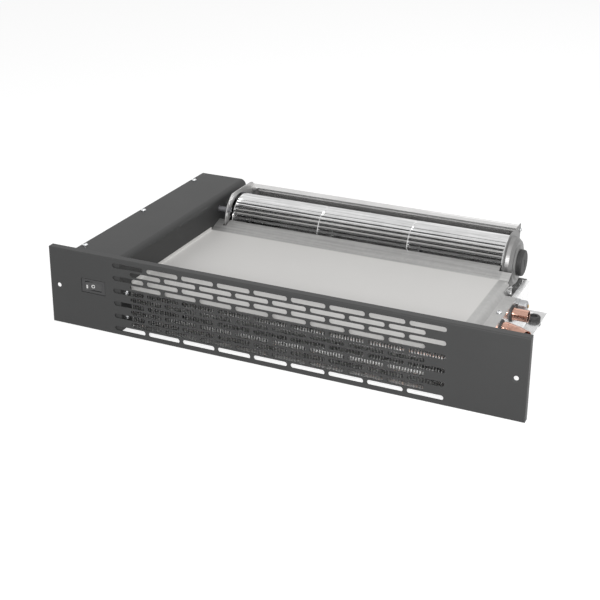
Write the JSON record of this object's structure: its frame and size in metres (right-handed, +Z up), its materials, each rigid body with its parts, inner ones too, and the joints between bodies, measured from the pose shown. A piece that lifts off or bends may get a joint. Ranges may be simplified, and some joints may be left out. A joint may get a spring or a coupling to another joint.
{
  "type": "plinth heater",
  "caption": "Low hydronic plinth heater: slotted front panel, control box with rocker switch, finned copper coil under a cover plate, tangential fan at the back, two pipe tails.",
  "frame": {"origin": "centre of the overall box at the underside, where the rubber feet and the panel's lower edge stand on the floor", "axes": "+X to the right as seen from the front, along the panel; +Y from the front panel to the back; +Z up"},
  "size_m": [0.6, 0.3355, 0.1004],
  "materials": {
    "black_powder_coat": "fine-textured black powder coat",
    "grey_powder_coat": "satin dark grey paint on folded steel",
    "galvanised_sheet": "galvanised steel sheet with a faint spangle",
    "coated_sheet": "pale zinc-coated sheet with a matt film",
    "zinc_fastener": "bright zinc plating",
    "copper_tube": "drawn copper, slightly tarnished",
    "fin_foil": "thin aluminium fin stock",
    "impeller_aluminium": "bright rolled aluminium blades",
    "black_rubber": "moulded black rubber",
    "vent_plating": "dull nickel plating",
    "black_plastic": "semi-gloss black nylon",
    "block_plastic": "natural polyamide",
    "black_sleeving": "flexible black sleeving",
    "brown_insulation": "brown wire insulation",
    "blue_insulation": "blue wire insulation",
    "green_yellow_insulation": "green and yellow wire insulation",
    "brass_terminal": "tinned and plain brass",
    "shaft_steel": "ground steel",
    "lamination_steel": "stacked electrical steel sheets",
    "winding_copper": "enamelled copper wire under tape",
    "bobbin_plastic": "white glass-filled nylon",
    "die_cast": "die-cast alloy",
    "bearing_bronze": "sintered bronze",
    "spring_steel": "stainless spring strip"
  },
  "bodies": {
    "case": {"front_panel": "black_powder_coat", "panel_nuts": "zinc_fastener", "control_tray": "grey_powder_coat", "control_cover": "grey_powder_coat", "cover_screws": "zinc_fastener", "side_screws": "zinc_fastener", "chassis_base": "galvanised_sheet", "chassis_side_wall": "galvanised_sheet", "chassis_screws": "zinc_fastener", "rubber_feet": "black_rubber", "coil_cover": "coated_sheet", "coil_cover_screws": "zinc_fastener", "coil_fins": "fin_foil", "coil_hairpins": "copper_tube", "return_bends": "copper_tube", "tube_sheet_left": "galvanised_sheet", "tube_sheet_right": "galvanised_sheet", "flow_tail": "copper_tube", "return_tail": "copper_tube", "pipe_grommets": "black_rubber", "vent_body": "vent_plating", "pipe_thermostat": "black_plastic", "thermostat_clip": "spring_steel", "thermostat_lead": "black_sleeving", "fan_scroll": "galvanised_sheet", "fan_tongue": "galvanised_sheet", "fan_plate_left": "galvanised_sheet", "fan_plate_right": "galvanised_sheet", "fan_screws": "zinc_fastener", "bearing_bush": "bearing_bronze", "bearing_mount": "black_rubber", "motor_stator": "lamination_steel", "motor_bobbin": "bobbin_plastic", "motor_winding": "winding_copper", "motor_brackets": "die_cast", "motor_bearings": "bearing_bronze", "motor_screws": "zinc_fastener", "motor_pillars": "zinc_fastener", "switch_body": "black_plastic", "switch_terminals": "brass_terminal", "terminal_block": "block_plastic", "terminal_screws": "zinc_fastener", "switch_wires": "brown_insulation", "motor_wires": "blue_insulation", "earth_wire": "green_yellow_insulation", "earth_stud": "zinc_fastener", "cable_gland": "black_plastic", "gland_nut": "black_plastic"},
    "fan_rotor": {"impeller_blades": "impeller_aluminium", "impeller_discs": "impeller_aluminium", "stub_shaft": "shaft_steel", "shaft_coupling": "black_rubber", "drive_shaft": "shaft_steel", "motor_rotor": "lamination_steel"},
    "switch_rocker": {"rocker": "black_plastic"},
    "bleed_screw": {"vent_screw": "brass_terminal"}
  },
  "joints": [
    {"name": "fan_spin", "type": "hinge", "parent": "case", "child": "fan_rotor", "pos_m": [0, 0.122, 0.061], "axis": [1, 0, 0], "continuous": true},
    {"name": "rocker_tip", "type": "hinge", "parent": "case", "child": "switch_rocker", "pos_m": [-0.238, -0.162, 0.0574], "axis": [0, 0, -1], "range_deg": [0, 16]},
    {"name": "vent_turn", "type": "hinge", "parent": "case", "child": "bleed_screw", "pos_m": [0.24, 0.036, 0.0424], "axis": [1, 0, 0], "range_deg": [0, 360]}
  ]
}
